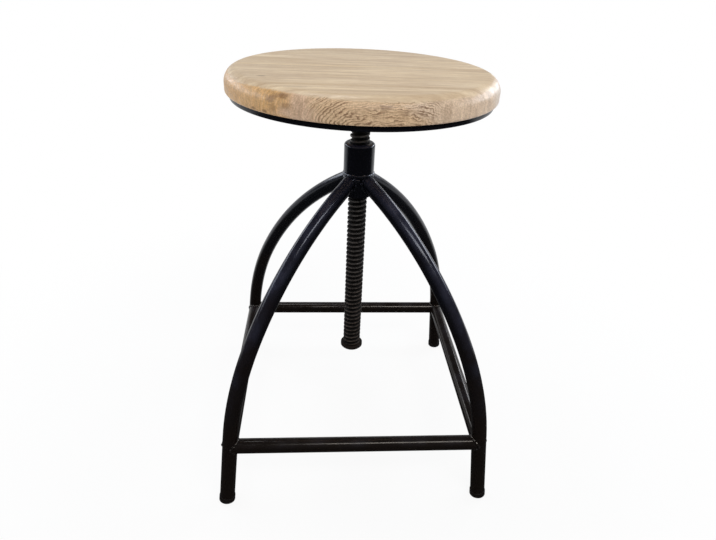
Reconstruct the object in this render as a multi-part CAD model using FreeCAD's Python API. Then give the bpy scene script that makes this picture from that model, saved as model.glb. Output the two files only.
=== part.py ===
import FreeCAD, Part
import math
import os

# Machinist stool: a round wooden seat on a coarse threaded spindle, in a hub on four bent tube legs.
# Millimetres. +Z is up and the floor is z = 0. The origin is on the floor under the spindle, front is -Y.
# The frame is built up from the floor, and the spindle and seat are stacked on it from the hub upwards.

# Leg tube, bent from a leaning straight at the foot to a flat slope at the hub
leg_diameter = 22.0
leg_wall = 1.5
leg_foot_radius = 273.0
leg_lean_deg = 7.7
leg_straight_height = 118.0
lower_bend_radius = 370.0
lower_bend_end_deg = 30.0
upper_bend_radius = 508.0

# Foot rails, one on each side of the square
rail_diameter = 21.6
rail_wall = 1.5
rail_height = 102.5

# Foot caps, pushed over the leg ends, with a domed bottom that is flat where it stands
cap_diameter = 23.6
cap_height = 11.5
cap_floor = 4.0
cap_dome_radius = 18.0
cap_dome_below_floor = 1.2
cap_lip_round = 0.7
cap_fit = 0.05

# Hub: a plain sleeve that the legs are welded to, with the threaded nut on top of it
sleeve_diameter = 40.0
sleeve_height = 36.0
sleeve_bore = 30.0
sleeve_below_leg_axis = 20.4
nut_diameter = 44.0
nut_height = 42.0
nut_top_round = 4.5
nut_mouth_chamfer = 1.0

# Spindle, a solid bar with a coarse right-hand thread below a plain neck
spindle_diameter = 28.0
thread_pitch = 7.4
thread_depth = 2.5
thread_crest_width = 2.9
thread_flank_deg = 20.0
thread_crest_chamfer = 0.45
thread_length = 361.4
thread_clearance = 0.3
thread_end_chamfer = 2.0
neck_diameter = 26.0
neck_length = 41.0
neck_above_nut = 16.0
spigot_diameter = 18.0
spigot_fit = 0.05

# Stop washer, hung loosely under the spindle on a countersunk screw
washer_diameter = 36.0
washer_thickness = 7.0
washer_edge_chamfer = 2.2
washer_play = 0.3
end_screw_diameter = 10.0
end_screw_length = 30.0
end_screw_head = 20.0
end_screw_hex = 6.0
end_screw_hex_depth = 3.5
end_screw_fit = 0.05
end_screw_hole_spare = 1.0

# Steel under the seat: a round plate on the spindle, crossed flat bars and a flat ring
plate_diameter = 70.0
plate_thickness = 6.0
bar_width = 25.0
bar_thickness = 7.0
ring_diameter = 351.0
ring_width = 25.0
ring_thickness = 7.0

# Wooden seat, a disc glued up from straight boards that run along X
seat_diameter = 362.0
seat_thickness = 30.3
seat_top_round = 18.0
seat_bottom_round = 3.5
board_width = 120.0

# Pan head wood screws, driven up through the ring
screw_count = 8
screw_diameter = 4.5
screw_length = 24.0
screw_head_diameter = 9.0
screw_head_height = 3.0
screw_slot_length = 4.5
screw_slot_width = 1.1
screw_slot_depth = 1.3
screw_hole_fit = 0.25
screw_pilot_fit = 0.05
screw_pilot_extra = 1.5

corners = {"front_left": 225.0, "front_right": 315.0, "back_right": 45.0, "back_left": 135.0}
sides = {"front": 270.0, "right": 0.0, "back": 90.0, "left": 180.0}


def point(x, y, z):
    return FreeCAD.Vector(x, y, z)


up = point(0, 0, 1)
centre = point(0, 0, 0)


def cylinder(diameter, height, bottom):
    return Part.makeCylinder(diameter / 2, height, point(0, 0, bottom))


def disc_ring(outer, inner, height, bottom):
    return cylinder(outer, height, bottom).cut(cylinder(inner, height, bottom))


def turned(shape, degrees):
    result = shape.copy()
    result.rotate(centre, up, degrees)
    return result


def box(x_range, y_range, z_range):
    size = [high - low for low, high in (x_range, y_range, z_range)]
    return Part.makeBox(size[0], size[1], size[2], point(x_range[0], y_range[0], z_range[0]))


def outline_face(edges):
    return Part.Face(Part.Wire(edges))


def line(start, end):
    return Part.LineSegment(start, end).toShape()


def arc(start, middle, end):
    return Part.Arc(start, middle, end).toShape()


# The leg's centre line lies in the upright plane through its corner: r is the distance from the
# stool's axis, and the slope is the angle of the tube from upright.
lean = math.radians(leg_lean_deg)
bend_join_slope = math.radians(lower_bend_end_deg)
straight_end_r = leg_foot_radius - leg_straight_height * math.tan(lean)
bend_join_r = straight_end_r + lower_bend_radius * (math.cos(bend_join_slope) - math.cos(lean))
bend_join_height = leg_straight_height + lower_bend_radius * (math.sin(bend_join_slope) - math.sin(lean))


def on_upper_bend(r):
    """The slope and the height of the leg's centre line where it is r from the stool's axis."""
    slope = math.acos(math.cos(bend_join_slope) + (r - bend_join_r) / upper_bend_radius)
    height = bend_join_height + upper_bend_radius * (math.sin(slope) - math.sin(bend_join_slope))
    return slope, height


def leg_r_at(height):
    """How far the leg's centre line is from the stool's axis at a height on its lower half."""
    if height <= leg_straight_height:
        return leg_foot_radius - height * math.tan(lean)
    slope = math.asin(math.sin(lean) + (height - leg_straight_height) / lower_bend_radius)
    return straight_end_r + lower_bend_radius * (math.cos(slope) - math.cos(lean))


# Heights, worked out from the floor up
_, leg_weld_height = on_upper_bend(sleeve_diameter / 2)
sleeve_bottom = leg_weld_height - sleeve_below_leg_axis
nut_bottom = sleeve_bottom + sleeve_height
nut_top = nut_bottom + nut_height
neck_bottom = nut_top + neck_above_nut
thread_bottom = neck_bottom - thread_length
neck_top = neck_bottom + neck_length
bar_bottom = neck_top + plate_thickness
seat_bottom = bar_bottom + bar_thickness
ring_bottom = seat_bottom - ring_thickness
seat_top = seat_bottom + seat_thickness
washer_top = thread_bottom - washer_play
washer_bottom = washer_top - washer_thickness


# Legs


def bend_sector(profile_r, profile_height, profile_slope, bend_radius, turn, face):
    """A round face swept along a bend that starts at a point and a slope of the leg's centre line."""
    placed = face.copy()
    placed.rotate(centre, point(0, 1, 0), -math.degrees(profile_slope))
    placed.translate(point(profile_r, 0, profile_height))
    middle_r = profile_r - bend_radius * math.cos(profile_slope)
    middle_height = profile_height - bend_radius * math.sin(profile_slope)
    return placed.revolve(point(middle_r, 0, middle_height), point(0, -1, 0), math.degrees(turn))


def leg_sweep(diameter, start_along):
    """A bent bar along +X, from a distance along the leg's axis above the floor to inside the hub."""
    section = Part.Face(Part.Wire(Part.makeCircle(diameter / 2)))
    start = section.copy()
    start.rotate(centre, point(0, 1, 0), -leg_lean_deg)
    along = point(-math.sin(lean), 0, math.cos(lean))
    foot = point(leg_foot_radius, 0, 0)
    start.translate(foot + along * start_along)
    straight = start.extrude(along * (leg_straight_height / math.cos(lean) - start_along))
    lower = bend_sector(straight_end_r, leg_straight_height, lean, lower_bend_radius,
                        bend_join_slope - lean, section)
    end_slope, _ = on_upper_bend(leg_end_r)
    upper = bend_sector(bend_join_r, bend_join_height, bend_join_slope, upper_bend_radius,
                        end_slope - bend_join_slope, section)
    return straight.fuse([lower, upper])


leg_end_r = sleeve_diameter / 4
hub_blank = cylinder(sleeve_diameter, sleeve_height, sleeve_bottom).fuse(
    cylinder(nut_diameter, nut_height, nut_bottom))
leg_bar = leg_sweep(leg_diameter, cap_floor)
leg_bore = leg_sweep(leg_diameter - 2 * leg_wall, cap_floor)
leg_tube = leg_bar.cut([leg_bore, hub_blank])
leg_tube = max(leg_tube.Solids, key=lambda solid: solid.Volume)
legs = {name: turned(leg_tube, angle) for name, angle in corners.items()}


# Foot rails: each is coped to its two legs and mitred against its neighbours


def foot_rail():
    corner = leg_r_at(rail_height) * math.sqrt(0.5)
    start = point(-corner, -corner, rail_height)
    blank = Part.makeCylinder(rail_diameter / 2, 2 * corner, start, point(1, 0, 0))
    bore = Part.makeCylinder(rail_diameter / 2 - rail_wall, 2 * corner, start, point(1, 0, 0))
    reach = corner + rail_diameter
    mitre = Part.makePolygon([centre, point(-reach, -reach, 0), point(reach, -reach, 0), centre])
    wedge = Part.Face(mitre).extrude(point(0, 0, 2 * rail_height))
    rail = blank.cut(bore).common(wedge)
    rail = rail.cut(turned(leg_bar, corners["front_left"])).cut(turned(leg_bar, corners["front_right"]))
    return max(rail.Solids, key=lambda solid: solid.Volume)


front_rail = foot_rail()
rails = {name: turned(front_rail, angle - sides["front"]) for name, angle in sides.items()}


# Foot caps


def foot_cap():
    outer_r = cap_diameter / 2
    lip = cap_height - cap_lip_round
    dome_bottom = -cap_dome_below_floor
    dome_centre = dome_bottom + cap_dome_radius
    dome_edge = dome_centre - math.sqrt(cap_dome_radius ** 2 - outer_r ** 2)
    dome_middle_r = outer_r / 2
    dome_middle = dome_centre - math.sqrt(cap_dome_radius ** 2 - dome_middle_r ** 2)
    round_45 = cap_lip_round * math.sqrt(0.5)
    edges = [
        arc(point(0, 0, dome_bottom), point(dome_middle_r, 0, dome_middle), point(outer_r, 0, dome_edge)),
        line(point(outer_r, 0, dome_edge), point(outer_r, 0, lip)),
        arc(point(outer_r, 0, lip), point(outer_r - cap_lip_round + round_45, 0, lip + round_45),
            point(outer_r - cap_lip_round, 0, cap_height)),
        line(point(outer_r - cap_lip_round, 0, cap_height), point(0, 0, cap_height)),
        line(point(0, 0, cap_height), point(0, 0, dome_bottom)),
    ]
    cap = outline_face(edges).revolve(centre, up, 360)
    socket = Part.makeCylinder(leg_diameter / 2 + cap_fit, cap_height, point(0, 0, cap_floor))
    cap = cap.cut(socket)
    cap.rotate(centre, point(0, 1, 0), -leg_lean_deg)
    cap.translate(point(leg_foot_radius, 0, 0))
    reach = leg_foot_radius + cap_diameter
    return cap.common(box((0, reach), (-cap_diameter, cap_diameter), (0, 2 * cap_height)))


front_cap = foot_cap()
caps = {name: turned(front_cap, angle) for name, angle in corners.items()}


# Thread: one closed surface, turn by turn, between helical edges at the corners of the tooth


def helical_edge(radius, bottom):
    helix = Part.makeHelix(thread_pitch, thread_pitch, radius)
    helix.translate(point(0, 0, bottom))
    return helix.Edges[0]


def helicoid(bottom, radius):
    axis = line(point(0, 0, bottom), point(0, 0, bottom + thread_pitch))
    return Part.makeRuledSurface(axis, helical_edge(radius, bottom))


def tooth_points(clearance):
    """Radius and height of the tooth's corners over one pitch, for the bar or, grown, for the nut."""
    slope = math.tan(math.radians(thread_flank_deg))
    crest_r = spindle_diameter / 2
    root_r = crest_r - thread_depth
    grow = clearance / math.cos(math.radians(thread_flank_deg)) - clearance * slope
    half_crest = thread_crest_width / 2 + grow
    half_root = half_crest + thread_depth * slope
    chamfer = thread_crest_chamfer
    half_below_chamfer = half_crest + chamfer * slope
    middle = thread_pitch / 2
    outer, inner = crest_r + clearance, root_r + clearance
    return [
        (inner, 0),
        (inner, middle - half_root),
        (outer - chamfer, middle - half_below_chamfer),
        (outer, middle - half_crest + chamfer),
        (outer, middle + half_crest - chamfer),
        (outer - chamfer, middle + half_below_chamfer),
        (inner, middle + half_root),
        (inner, thread_pitch),
    ]


def threaded_bar(clearance, turns, bottom):
    corners_of_tooth = tooth_points(clearance)
    root_r = corners_of_tooth[0][0]
    faces = []
    for turn in range(turns):
        base = bottom + turn * thread_pitch
        for (r_low, z_low), (r_high, z_high) in zip(corners_of_tooth, corners_of_tooth[1:]):
            lower = helical_edge(r_low, base + z_low)
            upper = helical_edge(r_high, base + z_high)
            faces.append(Part.makeRuledSurface(lower, upper))
    for base in (bottom, bottom + turns * thread_pitch):
        faces.append(helicoid(base, root_r))
        ends = [point(0, 0, base)] + [point(r, 0, base + z) for r, z in corners_of_tooth]
        ends += [point(0, 0, base + thread_pitch), point(0, 0, base)]
        faces.append(Part.Face(Part.makePolygon(ends)))
    shell = Part.makeShell(faces)
    shell.sewShape()
    return Part.makeSolid(shell)


def turned_end(length, bottom):
    """The space that the turned bar keeps: full length, with a chamfer at the lower end."""
    bar = cylinder(spindle_diameter + 2 * thread_clearance, length, bottom)
    edge = min(bar.Edges, key=lambda each: each.BoundBox.ZMax)
    return bar.makeChamfer(thread_end_chamfer, [edge])


# Spindle: its thread is made with spare turns past both ends, which are trimmed off. The part of a
# turn that is spare below sets on which side of the bar the thread starts.
spare_turns_below = 1.07
threaded_turns = math.ceil(thread_length / thread_pitch + 2 * spare_turns_below)
thread_start = thread_bottom - spare_turns_below * thread_pitch
thread = threaded_bar(0, threaded_turns, thread_start).common(turned_end(thread_length, thread_bottom))
spindle = thread.fuse([
    cylinder(neck_diameter, neck_length, neck_bottom),
    cylinder(spigot_diameter, plate_thickness, neck_top),
])
end_screw_hole = cylinder(end_screw_diameter + 2 * end_screw_fit, end_screw_length, thread_bottom)
spindle = spindle.cut(end_screw_hole)

# Stop washer and the countersunk screw that holds it
head_height = (end_screw_head - end_screw_diameter) / 2


def countersink(grow, bottom, below):
    """A cone of the screw's head, grown by a clearance, with a short straight part under it."""
    low_r = end_screw_head / 2 + grow
    high_r = end_screw_diameter / 2 + grow
    cone = Part.makeCone(low_r, high_r, head_height, point(0, 0, bottom))
    return cone.fuse(cylinder(2 * low_r, below, bottom - below))


washer_hole = cylinder(end_screw_diameter + 2 * washer_play, washer_thickness, washer_bottom)
washer_blank = cylinder(washer_diameter, washer_thickness, washer_bottom)
washer_low_edge = min(washer_blank.Edges, key=lambda each: each.BoundBox.ZMax)
washer_blank = washer_blank.makeChamfer(washer_edge_chamfer, [washer_low_edge])
stop_washer = washer_blank.cut(washer_hole)
stop_washer = stop_washer.cut(countersink(washer_play, washer_bottom + washer_play, washer_play))
head_bottom = washer_bottom
head_top = head_bottom + head_height
screw_tip = thread_bottom + end_screw_length - end_screw_hole_spare
end_screw = Part.makeCone(end_screw_head / 2, end_screw_diameter / 2, head_height, point(0, 0, head_bottom))
end_screw = end_screw.fuse(cylinder(end_screw_diameter, screw_tip - head_top, head_top))
hex_corner = point(end_screw_hex / math.sqrt(3), 0, head_bottom)
hex_corners = [FreeCAD.Rotation(up, 60 * k).multVec(hex_corner) for k in range(7)]
hex_socket = Part.Face(Part.makePolygon(hex_corners)).extrude(up * end_screw_hex_depth)
end_screw = end_screw.cut(hex_socket)

# Hub
hub_sleeve = disc_ring(sleeve_diameter, sleeve_bore, sleeve_height, sleeve_bottom)
nut_blank = cylinder(nut_diameter, nut_height, nut_bottom)
nut_top_edge = max(nut_blank.Edges, key=lambda each: each.BoundBox.ZMin)
nut_blank = nut_blank.makeFillet(nut_top_round, [nut_top_edge])
mouth_r = spindle_diameter / 2 + thread_clearance
mouth = Part.makeCone(mouth_r, mouth_r + nut_mouth_chamfer, nut_mouth_chamfer,
                      point(0, 0, nut_top - nut_mouth_chamfer))
tap_spare_turns = 2
turns_below_nut = math.floor((nut_bottom - thread_start) / thread_pitch) - tap_spare_turns
tap_start = thread_start + turns_below_nut * thread_pitch
tap_turns = math.ceil(nut_height / thread_pitch) + 2 * tap_spare_turns
tap = threaded_bar(thread_clearance, tap_turns, tap_start)
threaded_nut = nut_blank.cut(mouth).cut(tap)

# Steel under the seat
mount_plate = disc_ring(plate_diameter, spigot_diameter + 2 * spigot_fit, plate_thickness, neck_top)
ring_inner = ring_diameter - 2 * ring_width
ring_middle_r = (ring_diameter - ring_width) / 2
seat_ring = disc_ring(ring_diameter, ring_inner, ring_thickness, ring_bottom)
half_bar = bar_width / 2
bar_space = cylinder(ring_inner, bar_thickness, bar_bottom)
bar_reach = ring_inner / 2
bar_z = (bar_bottom, seat_bottom)
long_bar = box((-bar_reach, bar_reach), (-half_bar, half_bar), bar_z).common(bar_space)
short_bar_front = box((-half_bar, half_bar), (-bar_reach, -half_bar), bar_z).common(bar_space)
short_bar_back = box((-half_bar, half_bar), (half_bar, bar_reach), bar_z).common(bar_space)


# Wooden seat


def seat_disc():
    r = seat_diameter / 2
    low, high = seat_bottom_round, seat_top_round
    low_45 = low * (1 - math.sqrt(0.5))
    high_45 = high * (1 - math.sqrt(0.5))
    edges = [
        line(point(0, 0, seat_bottom), point(r - low, 0, seat_bottom)),
        arc(point(r - low, 0, seat_bottom), point(r - low_45, 0, seat_bottom + low_45),
            point(r, 0, seat_bottom + low)),
        line(point(r, 0, seat_bottom + low), point(r, 0, seat_top - high)),
        arc(point(r, 0, seat_top - high), point(r - high_45, 0, seat_top - high_45),
            point(r - high, 0, seat_top)),
        line(point(r - high, 0, seat_top), point(0, 0, seat_top)),
        line(point(0, 0, seat_top), point(0, 0, seat_bottom)),
    ]
    return outline_face(edges).revolve(centre, up, 360)


# Wood screws and their holes
screw_places = [
    point(ring_middle_r * math.cos(angle), ring_middle_r * math.sin(angle), 0)
    for angle in [2 * math.pi * (k + 0.5) / screw_count for k in range(screw_count)]
]
shank_above_seat = screw_length - ring_thickness


def wood_screw(place):
    head_r = screw_head_diameter / 2
    dome_r = (head_r ** 2 + screw_head_height ** 2) / (2 * screw_head_height)
    lowest = ring_bottom - screw_head_height
    dome = Part.makeSphere(dome_r, point(0, 0, lowest + dome_r))
    head = dome.common(cylinder(screw_head_diameter, screw_head_height, lowest))
    along = (-screw_slot_length / 2, screw_slot_length / 2)
    across = (-screw_slot_width / 2, screw_slot_width / 2)
    deep = (lowest, lowest + screw_slot_depth)
    head = head.cut([box(along, across, deep), box(across, along, deep)])
    screw = head.fuse(cylinder(screw_diameter, screw_length, ring_bottom))
    screw.translate(place)
    return screw


def screw_holes(diameter, depth, bottom):
    holes = []
    for place in screw_places:
        hole = cylinder(diameter, depth, bottom)
        hole.translate(place)
        holes.append(hole)
    return holes


wood_screws = Part.makeCompound([wood_screw(place) for place in screw_places])
seat_ring = seat_ring.cut(screw_holes(screw_diameter + 2 * screw_hole_fit, ring_thickness, ring_bottom))
pilot_diameter = screw_diameter + 2 * screw_pilot_fit
seat = seat_disc().cut(screw_holes(pilot_diameter, shank_above_seat + screw_pilot_extra, seat_bottom))

seat_r = seat_diameter / 2
board_edges = {
    "seat_board_front_edge": (-seat_r, -board_width),
    "seat_board_front": (-board_width, 0),
    "seat_board_back": (0, board_width),
    "seat_board_back_edge": (board_width, seat_r),
}
boards = {
    name: seat.common(box((-seat_r, seat_r), y_range, (seat_bottom, seat_top)))
    for name, y_range in board_edges.items()
}

# Every piece under its own name
pieces = {
    "hub_sleeve": hub_sleeve,
    "threaded_nut": threaded_nut,
    "spindle": spindle,
    "stop_washer": stop_washer,
    "end_screw": end_screw,
    "mount_plate": mount_plate,
    "cross_bar_long": long_bar,
    "cross_bar_front": short_bar_front,
    "cross_bar_back": short_bar_back,
    "seat_ring": seat_ring,
    "wood_screws": wood_screws,
}
pieces.update(boards)
pieces.update({"leg_" + name: shape for name, shape in legs.items()})
pieces.update({"rail_" + name: shape for name, shape in rails.items()})
pieces.update({"foot_cap_" + name: shape for name, shape in caps.items()})

os.makedirs("parts", exist_ok=True)
for name, shape in pieces.items():
    shape.exportStep("parts/" + name + ".step")
    print(name, "valid", shape.isValid(), "solids", len(shape.Solids), "volume", round(shape.Volume, 1))

travel_up = sleeve_bottom - washer_top
travel_down = neck_bottom - nut_top
print("seat top", round(seat_top, 2), "nut top", round(nut_top, 2), "sleeve bottom", round(sleeve_bottom, 2))
print("travel up to the stop", round(travel_up, 2), "travel down to the stop", round(travel_down, 2))
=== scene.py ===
# %% [markdown]
# # A machinist stool
# The real stool is a round wooden seat on a coarse steel screw, in a hub on four bent black tube legs.
# The construction is loaded as a fixed frame, in metres, with the floor at z = 0. This lesson adds what
# the eye sees: the grain of the wood, the satin paint, the weld beads and the light of a small studio.
# Nothing of the frame is moved: each new piece takes its size and place from the frame's own boxes.

# %% Load the frame
import math
import random
import bmesh
import bpy
from mathutils import Matrix, Vector


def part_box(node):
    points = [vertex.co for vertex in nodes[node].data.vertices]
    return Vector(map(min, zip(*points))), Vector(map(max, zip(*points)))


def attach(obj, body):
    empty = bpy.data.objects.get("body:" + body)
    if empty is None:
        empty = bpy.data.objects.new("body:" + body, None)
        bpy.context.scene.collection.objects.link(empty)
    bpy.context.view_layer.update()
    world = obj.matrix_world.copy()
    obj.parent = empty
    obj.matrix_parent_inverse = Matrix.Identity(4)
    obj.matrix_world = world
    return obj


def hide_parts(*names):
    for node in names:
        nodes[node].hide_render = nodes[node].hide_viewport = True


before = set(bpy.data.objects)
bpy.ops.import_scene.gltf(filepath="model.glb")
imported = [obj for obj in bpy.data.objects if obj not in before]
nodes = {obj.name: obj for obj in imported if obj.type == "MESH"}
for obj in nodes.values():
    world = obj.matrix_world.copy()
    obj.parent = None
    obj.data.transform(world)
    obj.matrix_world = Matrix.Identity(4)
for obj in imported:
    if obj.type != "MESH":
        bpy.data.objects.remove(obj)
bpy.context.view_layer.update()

print(len(nodes), "nodes of the frame are loaded")

# %% [markdown]
# ## The camera
# The photograph was taken from standing height, a little to the left of the front, with the camera held
# not quite level. A camera is aimed in three turns: a heading about the upright axis, a tilt down, and
# a roll about its own line of sight. They are put together as one matrix, so their order can't be mixed up.

# %% Place the camera
photo_width = 716
focal_pixels = 564.37
sensor_width = 36.0
camera_distance = 0.78068
camera_height = 0.73137
camera_yaw = math.radians(4.255)
camera_pan = math.radians(0.414)
camera_pitch = math.radians(29.308)
camera_roll = math.radians(2.635)

bpy.ops.object.camera_add()
camera = bpy.context.object
camera.name = "stool_camera"
camera.data.sensor_width = sensor_width
camera.data.lens = focal_pixels / photo_width * sensor_width
camera.data.clip_start = 0.01
stand = Matrix.Translation((-camera_distance * math.sin(camera_yaw),
                            -camera_distance * math.cos(camera_yaw), camera_height))
heading = Matrix.Rotation(-(camera_yaw + camera_pan), 4, "Z")
tilt = Matrix.Rotation(math.pi / 2 - camera_pitch, 4, "X")
roll = Matrix.Rotation(camera_roll, 4, "Z")
camera.matrix_world = stand @ heading @ tilt @ roll
bpy.context.scene.camera = camera
print("lens", round(camera.data.lens, 2), "mm")

# %% [markdown]
# ## Short ways to build a node tree
# A material is a drawing made of nodes. Each node is added, its sockets are set or linked, and its output
# goes on to the next. A small class does the adding and linking, so that a recipe reads like a sentence.

# %% A helper for node trees
class Tree:
    """A node tree with short ways to add a node, to set its sockets and to link them."""

    def __init__(self, tree):
        self.tree = tree

    def set(self, socket, value):
        if isinstance(value, bpy.types.NodeSocket):
            self.tree.links.new(value, socket)
        else:
            socket.default_value = value

    def add(self, kind, sockets=None, **settings):
        """A new node. A group's node has no sockets before it has its tree, so settings go first."""
        node = self.tree.nodes.new(kind)
        for name, value in settings.items():
            setattr(node, name, value)
        for name, value in (sockets or {}).items():
            self.set(node.inputs[name], value)
        return node

    def math(self, operation, first, second=0.0):
        return self.add("ShaderNodeMath", {0: first, 1: second}, operation=operation).outputs[0]

    def vector(self, operation, first, second=(0.0, 0.0, 0.0)):
        return self.add("ShaderNodeVectorMath", {0: first, 1: second}, operation=operation).outputs

    def axes(self, vector):
        return self.add("ShaderNodeSeparateXYZ", {0: vector}).outputs

    def fade(self, value, low, high, to_low=0.0, to_high=1.0):
        """A smooth step of a value between two limits."""
        node = self.add("ShaderNodeMapRange", {"Value": value, "From Min": low, "From Max": high,
                                               "To Min": to_low, "To Max": to_high},
                        interpolation_type="SMOOTHSTEP")
        return node.outputs["Result"]

    def mix(self, share, first, second):
        """A mix of two colours. The node has sockets of other kinds too, so these go by their numbers."""
        colour_a, colour_b, colour_result = 6, 7, 2
        node = self.add("ShaderNodeMix", {"Factor": share}, data_type="RGBA")
        self.set(node.inputs[colour_a], first)
        self.set(node.inputs[colour_b], second)
        return node.outputs[colour_result]

    def noise(self, vector, scale, detail=2.0, roughness=0.5):
        """A noise whose scale is one number, or one for each axis to stretch it."""
        if isinstance(scale, tuple):
            vector = self.vector("MULTIPLY", vector, scale)[0]
            scale = 1.0
        node = self.add("ShaderNodeTexNoise", {"Vector": vector, "Scale": scale, "Detail": detail,
                                               "Roughness": roughness})
        return node.outputs["Fac"]

    def swing(self, noise, width):
        """A noise moved to swing evenly about zero, by a width in all."""
        return self.math("MULTIPLY", self.math("SUBTRACT", noise, 0.5), width)

    def group(self, group, sockets):
        return self.add("ShaderNodeGroup", sockets, node_tree=group).outputs

    def bump(self, shader, height, strength, distance):
        node = self.add("ShaderNodeBump", {"Height": height, "Strength": strength, "Distance": distance})
        self.set(shader.inputs["Normal"], node.outputs[0])


FLOAT, VECTOR = "NodeSocketFloat", "NodeSocketVector"


def new_group(name, inputs, outputs):
    """An empty node group, with named inputs that have usual values, and named outputs."""
    group = bpy.data.node_groups.new(name, "ShaderNodeTree")
    for label, kind, usual in inputs:
        socket = group.interface.new_socket(name=label, in_out="INPUT", socket_type=kind)
        if usual is not None:
            socket.default_value = usual
    for label in outputs:
        group.interface.new_socket(name=label, in_out="OUTPUT", socket_type=FLOAT)
    tree = Tree(group)
    given = tree.add("NodeGroupInput").outputs
    results = tree.add("NodeGroupOutput").inputs
    return tree, given, results


def new_material(name):
    """A material with its shader and the object's own coordinates, which the patterns are drawn in."""
    material = bpy.data.materials.new(name)
    material.use_nodes = True
    tree = Tree(material.node_tree)
    shader = material.node_tree.nodes["Principled BSDF"]
    coordinates = tree.add("ShaderNodeTexCoord").outputs["Object"]
    return material, tree, shader, coordinates


def finish(names, material):
    """Gives nodes of the frame their material."""
    for name in names:
        nodes[name].data.materials.clear()
        nodes[name].data.materials.append(material)


print("node helpers ready")

# %% [markdown]
# ## The studio
# A plain white floor and soft light suit a stool that has both pale wood and black paint. The white of the
# background is a glow that only the camera and the mirroring paint see. It lights nothing, because more
# light would wash out the wood. Near the stool the floor glows a little less, so that a soft shadow still
# shows at the feet. Paint and steel mirror what stands around them. Behind the stool that is the same
# background at about half its brightness, but the photographer's side and the ceiling of such a studio are
# dark. That is why only the very edges of the black tubes are pale, and their middles stay black.

# %% Studio floor
floor_radius = 12.0
floor_sides = 96
floor_colour = (0.86, 0.86, 0.86, 1.0)
pure_white = (1.0, 1.0, 1.0, 1.0)
white_near_stool = 0.90
shadow_reach = (0.40, 1.0)
front_of_paper = (0.15, 0.60)
mirrored_share = 0.55
dark_side_light = 0.05
dark_side_colour = (dark_side_light, dark_side_light, dark_side_light, 1.0)

bpy.ops.object.select_all(action="DESELECT")
bpy.ops.mesh.primitive_circle_add(vertices=floor_sides, radius=floor_radius, fill_type="NGON")
floor = bpy.context.object
floor.name = "studio_floor"


def sees_background(tree, behind):
    """1 for camera rays, a share of what is behind for mirrored rays, and 0 for rays that carry light."""
    path = tree.add("ShaderNodeLightPath").outputs
    mirrored = tree.math("MAXIMUM", path["Is Glossy Ray"], path["Is Transmission Ray"])
    mirrored_white = tree.math("MULTIPLY", tree.math("MULTIPLY", mirrored, behind), mirrored_share)
    return tree.math("MAXIMUM", path["Is Camera Ray"], mirrored_white)


paper = bpy.data.materials.new("studio_paper")
paper.use_nodes = True
paper.node_tree.nodes.clear()
tree = Tree(paper.node_tree)
spot = tree.add("ShaderNodeTexCoord").outputs["Object"]
white_share = tree.fade(tree.vector("LENGTH", spot)["Value"], *shadow_reach, white_near_stool, 1.0)
behind = tree.fade(tree.axes(spot)["Y"], *front_of_paper)
share = tree.math("MULTIPLY", white_share, sees_background(tree, behind))
glossy = tree.add("ShaderNodeLightPath").outputs["Is Glossy Ray"]
in_the_dark = tree.math("MULTIPLY", glossy, tree.math("SUBTRACT", 1.0, behind))
grey = tree.mix(in_the_dark, floor_colour, dark_side_colour)
lit = tree.add("ShaderNodeBsdfDiffuse", {"Color": grey}).outputs[0]
white = tree.add("ShaderNodeEmission", {"Color": pure_white}).outputs[0]
surface = tree.add("ShaderNodeMixShader", {0: share, 1: lit, 2: white}).outputs[0]
tree.add("ShaderNodeOutputMaterial", {"Surface": surface})
floor.data.materials.append(paper)
print("floor", 2 * floor_radius, "m across")

# %% Studio world
world_light = 0.42
back_of_world = (0.30, 0.75)
low_in_world = (0.50, 0.20)

world = bpy.data.worlds.new("studio_world")
bpy.context.scene.world = world
world.use_nodes = True
world.node_tree.nodes.clear()
tree = Tree(world.node_tree)
way = tree.axes(tree.add("ShaderNodeTexCoord").outputs["Generated"])
behind = tree.math("MULTIPLY", tree.fade(way["Y"], *back_of_world), tree.fade(way["Z"], *low_in_world))
glossy = tree.add("ShaderNodeLightPath").outputs["Is Glossy Ray"]
fill = tree.fade(glossy, 0.0, 1.0, world_light, dark_side_light)
strength = tree.fade(sees_background(tree, behind), 0.0, 1.0, fill, 1.0)
sky = tree.add("ShaderNodeBackground", {"Color": pure_white, "Strength": strength}).outputs[0]
tree.add("ShaderNodeOutputWorld", {"Surface": sky})
bpy.context.scene.view_settings.view_transform = "Standard"
print("world gives a light of", world_light)

# %% [markdown]
# ## The lamps
# Black tube shows its shape only by what it mirrors. A wide lamp above and in front draws the bright line
# along the front rail. A bent leg mirrors another direction at each height, so the lamp at each side is a
# long strip, which draws one unbroken line from the hub to the foot. The strips are thin and strong for
# crisp lines, while the world's light fills in what they leave dark.

# %% Lamps
aim = Vector((0.0, 0.0, 0.35))
warm = (1.0, 0.985, 0.96)
cool = (0.90, 0.94, 1.0)


def area_lamp(name, place, size, watts, colour):
    """A soft rectangular lamp that is aimed at the middle of the stool."""
    bpy.ops.object.select_all(action="DESELECT")
    bpy.ops.object.light_add(type="AREA", location=place)
    lamp = bpy.context.object
    lamp.name = name
    lamp.data.shape = "RECTANGLE"
    lamp.data.size, lamp.data.size_y = size
    lamp.data.energy = watts
    lamp.data.color = colour
    lamp.rotation_euler = (aim - Vector(place)).to_track_quat("-Z", "Y").to_euler()


area_lamp("key_lamp", (0.55, -1.35, 1.95), (1.3, 0.35), 16.0, warm)
area_lamp("top_lamp", (-0.4, 0.5, 2.3), (1.0, 0.4), 8.0, cool)
area_lamp("left_lamp", (-1.60, 0.60, 0.95), (2.2, 0.40), 12.0, cool)
area_lamp("right_lamp", (1.60, 0.85, 1.00), (1.6, 0.40), 16.0, cool)

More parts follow.
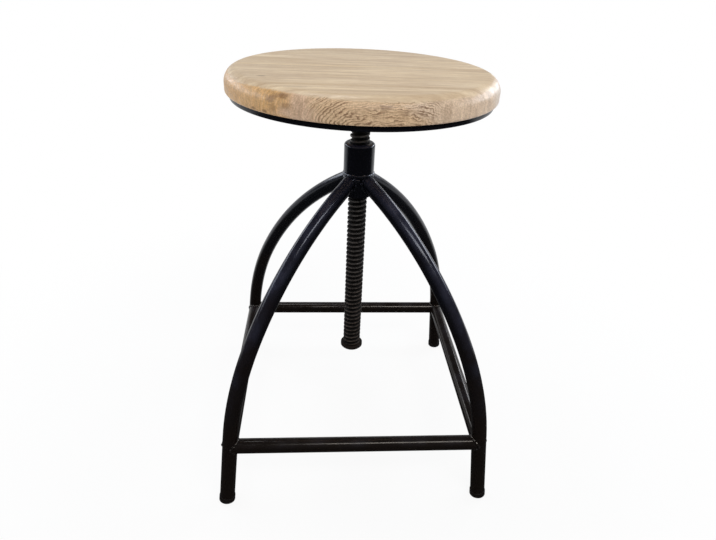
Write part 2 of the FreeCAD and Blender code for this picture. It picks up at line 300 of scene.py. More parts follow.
# %% [markdown]
# ## Satin black paint
# The frame was sprayed black after welding. Spray paint dries with a fine orange peel and collects a little
# dust that dulls it in places. Its black is painted brown towards the feet, as a painted reflection of a
# wooden floor, and blue-black higher up. The peel is a small bump. The dulling is a soft noise on the
# roughness. Faces that look up get a painted sheen, the reflection of a bluish sky, in patches, brown at
# the feet and blue-grey above. All come from one group, so that every painted piece has the same paint at
# the same scale.

# %% The paint group
brown_below = 0.08
blue_above = 0.42
glossy_paint = 0.13
dull_paint = 0.24
dusty_extra = 0.2
tree, given, results = new_group("Spray paint", [("Vector", VECTOR, None), ("Normal", VECTOR, None)],
                                 ["Tone", "Painted sheen", "Roughness", "Height"])
peel = tree.noise(given["Vector"], 900.0, 2.0, 0.6)
smudge = tree.noise(given["Vector"], 28.0, 4.0, 0.6)
specks = tree.noise(given["Vector"], 1700.0, 1.0, 0.5)
drifting_height = tree.math("ADD", tree.axes(given["Vector"])["Z"], tree.swing(smudge, 0.35))
looks_up = tree.fade(tree.axes(given["Normal"])["Z"], 0.05, 0.75)
dust = tree.fade(specks, 0.62, 0.74, 0.0, dusty_extra)
# Reflected tone is 0 low down, where the black is painted brown as a reflection of a wooden floor, and 1
# higher up.
tree.set(results["Tone"], tree.fade(drifting_height, brown_below, blue_above))
# Painted sheen: faces that look up are painted paler in patches, for the reflection of a bluish sky.
tree.set(results["Painted sheen"], tree.math("MULTIPLY", looks_up, tree.fade(smudge, 0.30, 0.65, 0.45, 1.0)))
dulled = tree.fade(smudge, 0.38, 0.68, glossy_paint, dull_paint)
tree.set(results["Roughness"], tree.math("ADD", dulled, dust))
tree.set(results["Height"], tree.math("ADD", peel, tree.math("MULTIPLY", dust, 2.0)))
paint_group = tree.tree
print(paint_group.name, "has", len(paint_group.nodes), "nodes")

# %% Paint materials
peel_depth = 0.0003
# The brown black is a painted reflection of a wooden floor, on the feet and the lower tubes.
floor_reflection_black = (0.0058, 0.0038, 0.0030, 1.0)
blue_black = (0.0028, 0.0029, 0.0046, 1.0)
# Colours of the painted sheen on faces that look up.
brown_painted_sheen = (0.0130, 0.0100, 0.0090, 1.0)
blue_painted_sheen = (0.0250, 0.0262, 0.0440, 1.0)
warm_sheen = (1.0, 0.93, 0.86, 1.0)
blue_sheen = (0.80, 0.86, 1.0, 1.0)


def painted(name, bump, mirror):
    """Satin black paint, painted brown at the feet as a floor's reflection, with a painted sheen on faces
    that look up.
    """
    material, tree, shader, coordinates = new_material(name)
    normal = tree.add("ShaderNodeNewGeometry").outputs["Normal"]
    paint = tree.group(paint_group, {"Vector": coordinates, "Normal": normal})
    skin = tree.mix(paint["Tone"], floor_reflection_black, blue_black)
    sheen_colour = tree.mix(paint["Tone"], brown_painted_sheen, blue_painted_sheen)
    tree.set(shader.inputs["Base Color"], tree.mix(paint["Painted sheen"], skin, sheen_colour))
    tree.set(shader.inputs["Specular Tint"], tree.mix(paint["Tone"], warm_sheen, blue_sheen))
    tree.set(shader.inputs["Roughness"], paint["Roughness"])
    tree.bump(shader, paint["Height"], bump, peel_depth)
    shader.inputs["Specular IOR Level"].default_value = mirror
    return material


frame_paint = painted("satin_black_paint", 0.07, 0.30)
weld_paint = painted("painted_weld", 0.5, 1.0)
painted_nodes = [name for name in nodes if name.startswith(("leg_", "rail_"))]
finish(painted_nodes + ["threaded_nut"], frame_paint)
print(len(painted_nodes) + 1, "nodes are painted")

# %% [markdown]
# ## Blackened steel of the screw
# The spindle is blackened steel with a layer of old grease. The nut rubs its crests smoother, and they are
# painted paler too, partly for that wear and partly as a painted highlight along each crest. The roots are
# painted darker brown, for grease and for painted shade in them. How far a point is from the spindle's axis
# tells crest from root, so the mask is simply that distance. The washer and the screw under the hub collect
# the most grease, so their crest colour stays dark. The wood screws have the plain grey of dark zinc.

# %% The thread group
root_radius = 0.0115
crest_radius = 0.0140
tree, given, results = new_group("Rubbed thread", [("Vector", VECTOR, None)], ["Crest", "Grease and shade", "Height"])
radius = tree.vector("LENGTH", tree.vector("MULTIPLY", given["Vector"], (1.0, 1.0, 0.0))[0])["Value"]
rise = tree.math("DIVIDE", tree.math("SUBTRACT", radius, root_radius), crest_radius - root_radius)
grain = tree.noise(given["Vector"], 260.0, 5.0, 0.7)
blotch = tree.noise(given["Vector"], 45.0, 3.0, 0.6)
tree.set(results["Crest"], tree.math("MULTIPLY", tree.fade(rise, 0.82, 1.0), tree.fade(grain, 0.25, 0.6)))
# Roots are painted darker: grease, and painted shade in the hollows of the thread.
tree.set(results["Grease and shade"], tree.math("MULTIPLY", tree.fade(rise, 0.8, 0.1), tree.fade(blotch, 0.2, 0.5)))
tree.set(results["Height"], tree.math("ADD", grain, tree.math("MULTIPLY", blotch, 0.6)))
thread_group = tree.tree
print(thread_group.name, "has", len(thread_group.nodes), "nodes")

# %% Steel materials
# Darker brown of the thread roots: grease and painted shade.
grease_and_shade_brown = (0.0030, 0.0016, 0.0010, 1.0)
root_roughness = 0.7
crest_roughness = 0.3
steel_bump = 0.25
steel_grain_depth = 0.0005


def blackened(name, low_crest, high_crest, low_colour, high_colour, mirror):
    """Dark steel, painted paler on the crests for wear and a highlight, and darker brown in the roots for
    grease and shade.
    """
    material, tree, shader, coordinates = new_material(name)
    thread = tree.group(thread_group, {"Vector": coordinates})
    normal = tree.add("ShaderNodeNewGeometry").outputs["Normal"]
    paint = tree.group(paint_group, {"Vector": coordinates, "Normal": normal})
    # On the spindle too, the brown low down is a painted reflection of a wooden floor.
    skin = tree.mix(paint["Tone"], low_colour, high_colour)
    greased_and_shaded = tree.mix(thread["Grease and shade"], skin, grease_and_shade_brown)
    crest = tree.mix(paint["Tone"], low_crest, high_crest)
    tree.set(shader.inputs["Base Color"], tree.mix(thread["Crest"], greased_and_shaded, crest))
    roughness = tree.fade(thread["Crest"], 0.0, 1.0, root_roughness, crest_roughness)
    tree.set(shader.inputs["Roughness"], roughness)
    tree.bump(shader, thread["Height"], steel_bump, steel_grain_depth)
    shader.inputs["Specular IOR Level"].default_value = mirror
    return material


# The low steel colour is painted browner, as a reflection of a wooden floor.
steel_floor_reflection = (0.0040, 0.0027, 0.0021, 1.0)
steel_high = (0.0030, 0.0028, 0.0034, 1.0)
# Crest colours stand for rubbed steel and for a painted highlight along each crest; the low one also holds
# the painted floor reflection.
crest_wear_and_highlight_low = (0.062, 0.044, 0.035, 1.0)
crest_wear_and_highlight_high = (0.064, 0.058, 0.054, 1.0)
spindle_steel = blackened("blackened_steel", crest_wear_and_highlight_low, crest_wear_and_highlight_high, steel_floor_reflection, steel_high, 0.22)
greasy_black = (0.018, 0.0125, 0.010, 1.0)
washer_steel = blackened("greasy_steel", greasy_black, greasy_black, steel_floor_reflection, steel_high, 0.35)
zinc_grey = (0.14, 0.14, 0.14, 1.0)
zinc_pale = (0.20, 0.20, 0.20, 1.0)
screw_steel = blackened("dark_zinc", zinc_pale, zinc_pale, zinc_grey, zinc_grey, 0.6)
finish(["spindle"], spindle_steel)
finish(["wood_screws"], screw_steel)
print("steel is on", nodes["spindle"].name, "and", nodes["wood_screws"].name)

# %% [markdown]
# ## Foot caps
# The caps are moulded plastic, pushed over the tube ends. Plastic is duller than paint and has fine
# scratches all over. The floor scuffs it most, and its lower edge is painted paler and browner, for those
# scuffs and as a painted reflection of a wooden floor.

# %% Plastic material
low_edge_height = 0.006
cap_black = (0.0085, 0.0058, 0.0046, 1.0)
scuff_and_floor_reflection = (0.040, 0.034, 0.030, 1.0)
cap_bump = 0.2
scratch_depth = 0.0003
cap_plastic, tree, shader, coordinates = new_material("cap_plastic")
scratches = tree.noise(coordinates, (420.0, 420.0, 2500.0), 4.0, 0.7)
# Lower edge painted paler: scuffs and a painted reflection of a wooden floor.
low_down = tree.fade(tree.axes(coordinates)["Z"], low_edge_height, 0.0)
scuffed_and_reflecting = tree.math("MULTIPLY", low_down, tree.fade(scratches, 0.4, 0.7))
tree.set(shader.inputs["Base Color"], tree.mix(scuffed_and_reflecting, cap_black, scuff_and_floor_reflection))
tree.set(shader.inputs["Roughness"], tree.fade(scratches, 0.3, 0.7, 0.36, 0.55))
tree.bump(shader, scratches, cap_bump, scratch_depth)
shader.inputs["Specular IOR Level"].default_value = 0.3
cap_names = [name for name in nodes if name.startswith("foot_cap")]
finish(cap_names, cap_plastic)
print(len(cap_names), "caps are plastic")

# %% [markdown]
# ## The wood
# The seat is glued up from boards, each sawn from another place in the log. A board's figure is the log's
# growth rings, cut by its faces. So each board gets its own heart, a line through the log near it, and the
# rings are how far a point is from that line. The log of the front board was bowed, and its heart lies just
# outside the rim and below the seat's top. The round rim therefore cuts the rings in steep arches, as in
# the photograph. The ends show them as fine streaks.

# %% Growth rings
tree, given, results = new_group(
    "Growth rings",
    [("Vector", VECTOR, None), ("Heart Y", FLOAT, 0.0), ("Heart Z", FLOAT, 0.5), ("Drift Y", FLOAT, 0.0),
     ("Drift Z", FLOAT, 0.0), ("Bow", FLOAT, 0.0), ("Ring width", FLOAT, 0.004), ("Wander", FLOAT, 0.006)],
    ["Rings", "Late wood"])
place = tree.axes(given["Vector"])
bowed = tree.math("MULTIPLY", tree.math("MULTIPLY", place["X"], place["X"]), given["Bow"])
long_bend = tree.noise(given["Vector"], (3.2, 9.0, 9.0), 2.0, 0.45)
short_bend = tree.noise(given["Vector"], (45.0, 110.0, 110.0), 3.0, 0.6)


def from_heart(axis, bend, bend_share):
    """How far a point is from the board's heart along one axis, with the drift and the bends of the log."""
    straight = tree.math("SUBTRACT", place[axis], given["Heart " + axis])
    drifting = tree.math("MULTIPLY", place["X"], given["Drift " + axis])
    wander = tree.math("MULTIPLY", tree.swing(bend, bend_share), given["Wander"])
    return tree.math("ADD", tree.math("ADD", straight, drifting), wander)


across = tree.math("ADD", from_heart("Y", long_bend, 1.0), bowed)
upright = from_heart("Z", short_bend, 1.0)
squares = tree.math("ADD", tree.math("MULTIPLY", across, across), tree.math("MULTIPLY", upright, upright))
ring_number = tree.math("DIVIDE", tree.math("SQRT", squares), given["Ring width"])
years = tree.add("ShaderNodeTexNoise", {"W": ring_number, "Scale": 0.8, "Detail": 3.0, "Roughness": 0.6},
                 noise_dimensions="1D").outputs["Fac"]
part_of_year = tree.math("FRACT", tree.math("ADD", ring_number, tree.swing(years, 1.2)))
late = tree.math("MULTIPLY", tree.fade(part_of_year, 0.45, 0.9), tree.fade(part_of_year, 1.0, 0.93))
tree.set(results["Rings"], tree.fade(years, 0.28, 0.72))
tree.set(results["Late wood"], late)
rings_group = tree.tree
print(rings_group.name, "has", len(rings_group.nodes), "nodes")

# %% Fibre and spots
tree, given, results = new_group("Wood fibre", [("Vector", VECTOR, None)],
                                 ["Fibre", "Strands", "Bands", "Pores", "Speckle", "Flecks", "Patches",
                                  "End streaks", "Height"])
fibre = tree.noise(given["Vector"], (16.0, 360.0, 360.0), 4.0, 0.62)
strands = tree.noise(given["Vector"], (10.0, 105.0, 105.0), 4.0, 0.68)
bands = tree.noise(given["Vector"], (2.6, 46.0, 46.0), 5.0, 0.62)
flecks = tree.noise(given["Vector"], (70.0, 110.0, 110.0), 3.0, 0.6)
speckle = tree.noise(given["Vector"], (520.0, 520.0, 520.0), 2.0, 0.6)
pores = tree.fade(tree.noise(given["Vector"], (70.0, 900.0, 900.0), 1.0, 0.5), 0.60, 0.70)
patches = tree.noise(given["Vector"], (6.0, 16.0, 16.0), 3.0, 0.55)
end_streaks = tree.noise(given["Vector"], (170.0, 170.0, 40.0), 4.0, 0.65)
tree.set(results["Fibre"], tree.fade(fibre, 0.3, 0.7))
tree.set(results["Strands"], tree.fade(strands, 0.36, 0.64))
tree.set(results["Speckle"], tree.fade(speckle, 0.36, 0.64))
tree.set(results["Flecks"], tree.fade(flecks, 0.34, 0.62))
tree.set(results["Bands"], tree.fade(bands, 0.34, 0.66))
tree.set(results["Pores"], pores)
tree.set(results["Patches"], tree.fade(patches, 0.33, 0.68))
tree.set(results["End streaks"], tree.fade(end_streaks, 0.35, 0.68))
tree.set(results["Height"], tree.math("SUBTRACT", fibre, tree.math("MULTIPLY", pores, 0.8)))
fibre_group = tree.tree

tree, given, results = new_group("Ragged spot", [("Vector", VECTOR, None), ("Centre", VECTOR, None),
                                                 ("Size", VECTOR, None)], ["Mask"])
offset = tree.vector("SUBTRACT", given["Vector"], given["Centre"])[0]
reach = tree.vector("LENGTH", tree.vector("DIVIDE", offset, given["Size"])[0])["Value"]
ragged = tree.swing(tree.noise(given["Vector"], 170.0, 3.0, 0.6), 1.3)
tree.set(results["Mask"], tree.fade(tree.math("ADD", reach, ragged), 1.1, 0.3))
spot_group = tree.tree
print("wood groups ready")

# %% Places of the seat
board_names = ("front_edge", "front", "back", "back_edge")
board_boxes = {name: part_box("seat_board_" + name) for name in board_names}
seat_bottom = board_boxes["front"][0].z
seat_top = board_boxes["front"][1].z
seat_radius = board_boxes["front"][1].x
top_round = 0.018
bottom_round = 0.0035
sanded_depth = 0.0046
print("seat", round(2 * seat_radius, 4), "m across, top at", round(seat_top, 4))

# %% Wood colours
top_pale = (0.93, 0.755, 0.515, 1.0)
top_tan = (0.72, 0.555, 0.360, 1.0)
top_grey = (0.70, 0.560, 0.405, 1.0)
side_tan = (0.82, 0.575, 0.350, 1.0)
side_gold = (0.86, 0.500, 0.190, 1.0)
side_brown = (0.84, 0.650, 0.480, 1.0)
side_pink = (0.86, 0.600, 0.415, 1.0)
# A painted highlight: the whitish glare on the rim's right end, seen almost edge on.
side_painted_glare = (0.90, 0.800, 0.710, 1.0)
fibre_brown = (0.44, 0.280, 0.160, 1.0)
line_brown = (0.17, 0.080, 0.035, 1.0)

# Where each tint starts and is full along the rim, in X.
side_tints = (
    (0.045, 0.075, side_brown),
    # The pale tint near the right end is a painted highlight, the glare on the rim.
    (0.145, 0.170, side_painted_glare),
    (-0.060, -0.080, side_pink),
    (-0.090, -0.115, side_gold),
)
print(len(side_tints) + 1, "tints on the rim")

# %% Wood of one board
fibre_bump = 0.35
pore_depth = 0.0004


def board_wood(name, heart, drift, bow, ring_width, wander, spots=()):
    """Oiled wood of one board. The heart is given across, and up from the seat's top."""
    material, tree, shader, coordinates = new_material(name)
    rings = tree.group(rings_group, {"Vector": coordinates, "Heart Y": heart[0],
                                     "Heart Z": seat_top + heart[1], "Drift Y": drift[0],
                                     "Drift Z": drift[1], "Bow": bow, "Ring width": ring_width,
                                     "Wander": wander})
    grain = tree.group(fibre_group, {"Vector": coordinates})
    place = tree.axes(coordinates)
    wandering_x = tree.math("ADD", place["X"], tree.swing(grain["Patches"], 0.04))

    side = side_tan
    for start, full, tint in side_tints:
        side = tree.mix(tree.fade(wandering_x, start, full), side, tint)
    side = tree.mix(tree.math("MULTIPLY", rings["Rings"], 0.25), side, top_pale)
    left_end = tree.fade(place["X"], -0.085, -0.045)
    right_end = tree.fade(place["X"], 0.095, 0.05)
    along_grain = tree.math("MULTIPLY", left_end, right_end)
    line_share = tree.math("MULTIPLY", tree.fade(along_grain, 0.0, 1.0, 0.12, 0.90),
                           tree.fade(grain["Flecks"], 0.0, 0.9, 0.35, 1.0))
    side = tree.mix(tree.math("MULTIPLY", rings["Late wood"], line_share), side, line_brown)
    streak_share = tree.fade(along_grain, 0.0, 1.0, 0.34, 0.20)
    side = tree.mix(tree.math("MULTIPLY", grain["End streaks"], streak_share), side, line_brown)
    side = tree.mix(tree.math("MULTIPLY", grain["Speckle"], 0.28), side, line_brown)

    top = tree.mix(grain["Bands"], top_tan, top_pale)
    top = tree.mix(tree.math("MULTIPLY", grain["Patches"], 0.40), top, top_grey)
    top = tree.mix(tree.math("MULTIPLY", grain["Strands"], 0.42), top, fibre_brown)
    top = tree.mix(tree.math("MULTIPLY", rings["Late wood"], 0.08), top, line_brown)

    edge_height = tree.math("ADD", place["Z"], tree.swing(grain["Patches"], 0.003))
    edge_height = tree.math("ADD", edge_height, tree.swing(grain["Speckle"], 0.0010))
    edge = seat_top - sanded_depth
    wood = tree.mix(tree.fade(edge_height, edge - 0.0010, edge + 0.0012), side, top)
    wood = tree.mix(tree.math("MULTIPLY", grain["Fibre"], 0.14), wood, fibre_brown)
    wood = tree.mix(tree.math("MULTIPLY", grain["Pores"], 0.32), wood, fibre_brown)
    for centre, size, share in spots:
        mask = tree.group(spot_group, {"Vector": coordinates, "Centre": centre, "Size": size})["Mask"]
        wood = tree.mix(tree.math("MULTIPLY", mask, share), wood, line_brown)
    tree.set(shader.inputs["Base Color"], wood)
    tree.set(shader.inputs["Roughness"], tree.fade(grain["Fibre"], 0.0, 1.0, 0.32, 0.46))
    relief = tree.math("SUBTRACT", grain["Height"], tree.math("MULTIPLY", rings["Late wood"], 0.25))
    tree.bump(shader, relief, fibre_bump, pore_depth)
    shader.inputs["Specular IOR Level"].default_value = 0.5
    return material


print("wood is sanded", 1000 * sanded_depth, "mm down from the top")

# %% Spots and the four woods
def on_rim(azimuth, depth):
    """A place on the seat's rim, by its azimuth in degrees and its depth below the seat's top."""
    angle = math.radians(azimuth)
    return (seat_radius * math.cos(angle), seat_radius * math.sin(angle), seat_top - depth)


# Each spot has its place, its size along the three axes, and how dark it is.
front_spots = (
    (on_rim(236.0, 0.007), (0.014, 0.012, 0.0040), 0.62),
    (on_rim(232.0, 0.012), (0.009, 0.009, 0.0050), 0.50),
    (on_rim(239.0, 0.017), (0.010, 0.009, 0.0060), 0.40),
    (on_rim(233.0, 0.021), (0.006, 0.008, 0.0080), 0.35),
    (on_rim(213.0, 0.006), (0.012, 0.016, 0.0016), 0.55),
    (on_rim(223.0, 0.027), (0.005, 0.005, 0.0022), 0.60),
    (on_rim(229.0, 0.027), (0.004, 0.004, 0.0025), 0.70),
    (on_rim(274.5, 0.010), (0.013, 0.006, 0.0030), 0.60),
    (on_rim(281.0, 0.016), (0.006, 0.005, 0.0050), 0.35),
    ((-0.082, -0.134, seat_top), (0.020, 0.005, 0.006), 0.25),
)
knot_spots = (((-0.126, -0.078, seat_top), (0.007, 0.0035, 0.004), 0.60),)
board_woods = {
    "front_edge": board_wood("wood_front_edge", (-seat_radius - 0.006, -0.040), (-0.23, 0.02), 3.0,
                             0.0029, 0.016, front_spots),
    "front": board_wood("wood_front", (-0.050, -0.120), (-0.04, 0.06), 0.0, 0.0045, 0.012, knot_spots),
    "back": board_wood("wood_back", (0.085, -0.090), (0.05, 0.03), 0.0, 0.0048, 0.014),
    "back_edge": board_wood("wood_back_edge", (seat_radius + 0.010, 0.014), (0.16, -0.05), -2.0,
                            0.0034, 0.015),
}
print(len(board_woods), "kinds of wood")

# %% [markdown]
# ## Modelling by hand, in code
# The operators are the same as in the window. An operator acts on all that is selected, so each step first
# selects nothing, then picks its edges or faces by where they are.

# %% Selecting and copying
# Two places that differ by less than a hair are the same place.
hair = 0.00002


def deselect_all():
    if bpy.context.object and bpy.context.object.mode != "OBJECT":
        bpy.ops.object.mode_set(mode="OBJECT")
    bpy.ops.object.select_all(action="DESELECT")


def make_active(piece):
    deselect_all()
    bpy.context.view_layer.objects.active = piece
    piece.select_set(True)


def named(name):
    """The piece that an operator has just made, with its new name."""
    piece = bpy.context.object
    piece.name = name
    piece.data.name = name
    return piece


def own_copy(piece, name):
    """A copy of a piece that has a mesh of its own."""
    twin = piece.copy()
    twin.data = piece.data.copy()
    bpy.context.collection.objects.link(twin)
    make_active(twin)
    return named(name)


print("two places are the same within", 1000 * hair, "mm")

# %% Editing and finishing a piece
# A face is square on to an axis where the cosine between its normal and that axis is above this.
square_on = 0.99


def edit(piece, kind):
    """Opens a piece in edit mode with nothing selected, to pick edges or faces."""
    make_active(piece)
    bpy.ops.object.mode_set(mode="EDIT")
    bpy.ops.mesh.select_mode(type=kind)
    bpy.ops.mesh.select_all(action="DESELECT")


def pick(items, test):
    """Selects the edges or faces that pass a test."""
    for item in items:
        if test(item):
            item.select_set(True)


def pick_edges(piece, test):
    mesh = bmesh.from_edit_mesh(piece.data)
    pick(mesh.edges, test)
    bmesh.update_edit_mesh(piece.data)


def pick_faces(piece, test):
    mesh = bmesh.from_edit_mesh(piece.data)
    pick(mesh.faces, test)
    bmesh.update_edit_mesh(piece.data)


def close_edit(piece, smooth_angle=35.0):
    """Back to object mode, with edges sharp only where faces meet at more than the angle."""
    bpy.ops.object.mode_set(mode="OBJECT")
    make_active(piece)
    bpy.ops.object.shade_smooth_by_angle(angle=math.radians(smooth_angle))


def dress(piece, material, body, slot, *replaced):
    """Gives a piece its material, the body it rides on and the nodes that it replaces. The slot is not
    used.
    """
    piece.data.materials.clear()
    piece.data.materials.append(material)
    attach(piece, body)
    if replaced:
        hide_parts(*replaced)
    print(piece.name, len(piece.data.polygons), "faces")


print("a face is square on above a cosine of", square_on)

# %% [markdown]
# ## The seat boards
# A joiner glues the boards first, turns them into one disc and rounds its rim. The model is made in the
# same order: one cylinder, its two rims bevelled round, then cut at the glue lines with the bisect tool.
# Each cut gets a hair of a bevel, so that a fine line shows between the boards.

# %% One disc
disc_sides = 288
top_steps = 14
bottom_steps = 5
deselect_all()
bpy.ops.mesh.primitive_cylinder_add(vertices=disc_sides, radius=seat_radius, depth=seat_top - seat_bottom,
                                    location=(0.0, 0.0, (seat_top + seat_bottom) / 2))
bpy.ops.object.transform_apply(location=True, rotation=True, scale=True)
disc = named("seat_disc")
rims = ((seat_top, top_round, top_steps), (seat_bottom, bottom_round, bottom_steps))
for rim_height, size, steps in rims:
    edit(disc, "EDGE")
    pick_edges(disc, lambda edge: all(abs(vertex.co.z - rim_height) < hair for vertex in edge.verts))
    bpy.ops.mesh.bevel(offset=size, segments=steps)
bpy.ops.object.mode_set(mode="OBJECT")
print(disc.name, len(disc.data.polygons), "faces")

# %% Four boards
glue_groove = 0.0003
for name in board_names:
    board = own_copy(disc, "wood_" + name)
    for cut_y, facing in ((board_boxes[name][0].y, -1.0), (board_boxes[name][1].y, 1.0)):
        if abs(cut_y) < seat_radius - hair:
            edit(board, "FACE")
            bpy.ops.mesh.select_all(action="SELECT")
            bpy.ops.mesh.bisect(plane_co=(0.0, cut_y, 0.0), plane_no=(0.0, facing, 0.0), use_fill=True,
                                clear_outer=True)
            bpy.ops.mesh.select_all(action="DESELECT")
            pick_faces(board, lambda face: abs(face.normal.y) > square_on
                       and abs(face.calc_center_median().y - cut_y) < hair)
            bpy.ops.mesh.bevel(offset=glue_groove, segments=2)
    close_edit(board)
    dress(board, board_woods[name], "seat", "seat_wood", "seat_board_" + name)
bpy.data.objects.remove(disc)

# %% [markdown]
# ## The ring under the seat
# The ring is cut from flat bar and its edges are broken with a file, which gives the thin light line that
# runs round it. Here it is a cylinder, whose two faces are inset by the bar's width and then bridged to
# open the middle.

# %% Seat ring
ring_low, ring_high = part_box("seat_ring")
ring_radius = ring_high.x
ring_width = 0.025
ring_sides = 240
ring_edge = 0.0009
corner_angle = math.radians(57.0)
deselect_all()
bpy.ops.mesh.primitive_cylinder_add(vertices=ring_sides, radius=ring_radius, depth=ring_high.z - ring_low.z,
                                    location=(0.0, 0.0, (ring_high.z + ring_low.z) / 2))
bpy.ops.object.transform_apply(location=True, rotation=True, scale=True)
ring = named("flat_ring")
edit(ring, "FACE")
pick_faces(ring, lambda face: abs(face.normal.z) > square_on)
bpy.ops.mesh.inset(thickness=ring_width)
bpy.ops.mesh.bridge_edge_loops()
bpy.ops.mesh.select_all(action="DESELECT")
bpy.ops.mesh.select_mode(type="EDGE")
pick_edges(ring, lambda edge: len(edge.link_faces) == 2 and edge.calc_face_angle() > corner_angle)
bpy.ops.mesh.bevel(offset=ring_edge, segments=3)
close_edit(ring)
dress(ring, frame_paint, "seat", "frame_paint", "seat_ring")

# %% [markdown]
# ## Broken edges
# No edge of real steel is knife-sharp: a file or a deburring wheel takes it off, and paint rounds it again.
# Such an edge catches a thin line of light. Each plain steel piece is a copy of the frame's own mesh, first
# merged, because a CAD mesh comes in loose faces, and then given a narrow bevel on its sharp edges.

# %% Pieces with broken edges
merge_distance = 0.000001
flat_angle = math.radians(1.0)
sharp_angle = math.radians(40.0)
sleeve_edge = 0.0010
bar_edge = 0.0008
washer_edge = 0.0005
screw_edge = 0.0003


def broken_edges(name, width, material, body, slot):
    """A copy of a node with its mesh merged and its sharp edges bevelled, which replaces the node."""
    piece = own_copy(nodes[name], "soft_" + name)
    edit(piece, "VERT")
    bpy.ops.mesh.select_all(action="SELECT")
    bpy.ops.mesh.remove_doubles(threshold=merge_distance)
    bpy.ops.mesh.dissolve_limited(angle_limit=flat_angle)
    bpy.ops.object.mode_set(mode="OBJECT")
    bevel = piece.modifiers.new("broken_edge", "BEVEL")
    bevel.width = width
    bevel.segments = 2
    bevel.limit_method = "ANGLE"
    bevel.angle_limit = sharp_angle
    bpy.ops.object.modifier_apply(modifier=bevel.name)
    close_edit(piece)
    dress(piece, material, body, slot, name)


broken_edges("hub_sleeve", sleeve_edge, frame_paint, "frame", "frame_paint")
for name in ("mount_plate", "cross_bar_long", "cross_bar_front", "cross_bar_back"):
    broken_edges(name, bar_edge, frame_paint, "seat", "frame_paint")
broken_edges("stop_washer", washer_edge, washer_steel, "stop_washer", "spindle_steel")
broken_edges("end_screw", screw_edge, washer_steel, "seat", "spindle_steel")

# %% [markdown]
# ## Weld beads
# The frame is held together by welds, and they show as rough ridges where tubes meet. A bead follows the
# line where one round tube meets another. That line is found by shooting the lines of one tube's skin at
# the other tube. The bead itself is a round curve along it, whose thickness ripples as the welder moved on.
# Round the hub the line is a plain circle under the nut. In the photograph a short second pass shows below
# it at the front, so that one is an open arc.

# %% A bead along a line
random.seed(11)
unevenness = 0.6


def bead_along(name, points, thickness, ripples, body, closed=True, ripple_share=0.24):
    """A painted bead along a line of points, made as a curve and turned into a mesh."""
    deselect_all()
    bpy.ops.mesh.primitive_circle_add(vertices=len(points), radius=1.0)
    bead = named(name)
    for vertex, point in zip(bead.data.vertices, points):
        vertex.co = point
    if not closed:
        edit(bead, "EDGE")
        ends = {0, len(points) - 1}
        pick_edges(bead, lambda edge: {vertex.index for vertex in edge.verts} == ends)
        bpy.ops.mesh.delete(type="EDGE_FACE")
        bpy.ops.object.mode_set(mode="OBJECT")
    make_active(bead)
    bpy.ops.object.convert(target="CURVE")
    bead = bpy.context.object
    bead.data.bevel_depth = thickness
    bead.data.bevel_resolution = 3
    bead.data.use_fill_caps = True
    line = bead.data.splines[0]
    for step, point in enumerate(line.points):
        wave = math.sin(2 * math.pi * ripples * step / len(line.points))
        point.radius = 1.0 + ripple_share * (wave + random.uniform(-unevenness, unevenness))
    bpy.ops.object.convert(target="MESH")
    bead = named(name)
    bpy.ops.object.shade_smooth()
    dress(bead, weld_paint, body, "frame_paint")
    return bead


print("a ripple is uneven by up to", unevenness, "of its height")

# %% Lines for the beads
def arc_line(radius, height, angles):
    """Points on a level circle round the stool's axis, at angles in degrees."""
    return [Vector((radius * math.cos(math.radians(angle)), radius * math.sin(math.radians(angle)), height))
            for angle in angles]


def seam(start, along, radius, other_point, other_along, other_radius, steps=72):
    """The line where a tube that comes from a start point meets another round tube."""
    side = along.orthogonal().normalized()
    lift = along.cross(side)
    flat_along = along - along.dot(other_along) * other_along
    points = []
    for step in range(steps):
        angle = 2 * math.pi * step / steps
        skin = start + radius * (math.cos(angle) * side + math.sin(angle) * lift)
        gap = skin - other_point
        flat_gap = gap - gap.dot(other_along) * other_along
        square = flat_along.length_squared
        half = flat_gap.dot(flat_along)
        rest = flat_gap.length_squared - other_radius ** 2
        travel = (-half - math.sqrt(half * half - square * rest)) / square
        points.append(skin + travel * along)
    return points


def turned_copies(piece, names, body):
    """Copies of a piece round the stool, each a quarter turn on from the last."""
    for turn, name in enumerate(names, start=1):
        twin = own_copy(piece, name)
        twin.matrix_world = Matrix.Rotation(math.radians(90 * turn), 4, "Z") @ piece.matrix_world
        make_active(twin)
        bpy.ops.object.transform_apply(location=True, rotation=True, scale=True)
        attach(twin, body)


print("bead tools ready")

# %% Beads of the legs
sleeve_low, sleeve_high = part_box("hub_sleeve")
sleeve_radius = sleeve_high.x
tube_radius = 0.011
leg_axis_above_sleeve_bottom = 0.0204
leg_slope = math.radians(60.7)
far_enough_out = 0.04
leg_bead = 0.0023
leg_ripples = 15

diagonal = Vector((-1.0, -1.0, 0.0)).normalized()
up = Vector((0.0, 0.0, 1.0))
leg_meets_hub = sleeve_radius * diagonal + (sleeve_low.z + leg_axis_above_sleeve_bottom) * up
leg_inward = -math.sin(leg_slope) * diagonal + math.cos(leg_slope) * up
leg_start = leg_meets_hub - far_enough_out * leg_inward
leg_seam = seam(leg_start, leg_inward, tube_radius, Vector(), up, sleeve_radius)
bead = bead_along("weld_leg_front_left", leg_seam, leg_bead, leg_ripples, "frame")
turned_copies(bead, ["weld_leg_front_right", "weld_leg_back_right", "weld_leg_back_left"], "frame")

# %% Beads of the hub
hub_bead = 0.0027
hub_ripples = 7
hub_ripple_share = 0.11
bead_below_nut = 0.9
bead_beyond_sleeve = 0.2
second_pass_drop = 0.0062
second_pass_ripples = 2

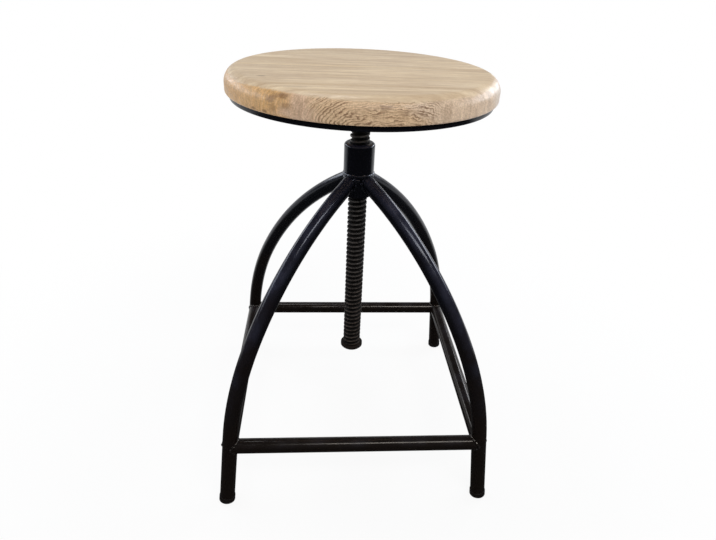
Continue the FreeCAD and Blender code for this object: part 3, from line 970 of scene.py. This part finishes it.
hub_seam_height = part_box("threaded_nut")[0].z - bead_below_nut * hub_bead
hub_seam_radius = sleeve_radius + bead_beyond_sleeve * hub_bead
hub_seam = arc_line(hub_seam_radius, hub_seam_height, range(0, 360, 3))
bead_along("weld_nut", hub_seam, hub_bead, hub_ripples, "frame", ripple_share=hub_ripple_share)
second_pass = arc_line(hub_seam_radius, hub_seam_height - second_pass_drop, range(240, 274, 2))
bead_along("weld_sleeve_second_pass", second_pass, hub_bead, second_pass_ripples, "frame", closed=False,
           ripple_share=hub_ripple_share)

# %% Beads of the rails
rail_low, rail_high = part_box("rail_front")
leg_lean = math.radians(7.7)
leg_foot_radius = 0.273
rail_bead = 0.0017
rail_ripples = 13
rail_radius = (rail_high.z - rail_low.z) / 2
rail_axis_y = rail_low.y + rail_radius
rail_axis_z = rail_low.z + rail_radius
middle = Vector((0.0, rail_axis_y, rail_axis_z))
sides = ("right", "back", "left")
for end, x_sign in (("left", -1.0), ("right", 1.0)):
    foot_way = Vector((x_sign, -1.0, 0.0)).normalized()
    leg_up = -math.sin(leg_lean) * foot_way + math.cos(leg_lean) * up
    line = seam(middle, Vector((x_sign, 0.0, 0.0)), rail_radius,
                leg_foot_radius * foot_way, leg_up, tube_radius)
    bead = bead_along("weld_rail_front_" + end, line, rail_bead, rail_ripples, "frame")
    turned_copies(bead, ["weld_rail_" + side + "_" + end for side in sides], "frame")

# %% Beads under the seat
plate_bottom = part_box("mount_plate")[0].z
bar_half_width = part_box("cross_bar_long")[1].y
under_bead = 0.0017
neck_radius = 0.013
neck_ripples = 12
bar_ripples = 6
bar_half_steps = 12

neck_seam = arc_line(neck_radius, plate_bottom, range(0, 360, 4))
bead_along("weld_neck", neck_seam, under_bead, neck_ripples, "seat")

ring_inner = ring_radius - ring_width
half_bar_angle = math.degrees(bar_half_width / ring_inner)
bar_angles = [half_bar_angle * step / bar_half_steps for step in range(-bar_half_steps, bar_half_steps + 1)]
bar_seam = arc_line(ring_inner, ring_low.z, bar_angles)
bead = bead_along("weld_bar_right", bar_seam, under_bead, bar_ripples, "seat", closed=False)
turned_copies(bead, ["weld_bar_back", "weld_bar_left", "weld_bar_front"], "seat")

# %% [markdown]
# ## Finish

# %% Finish
print("done")
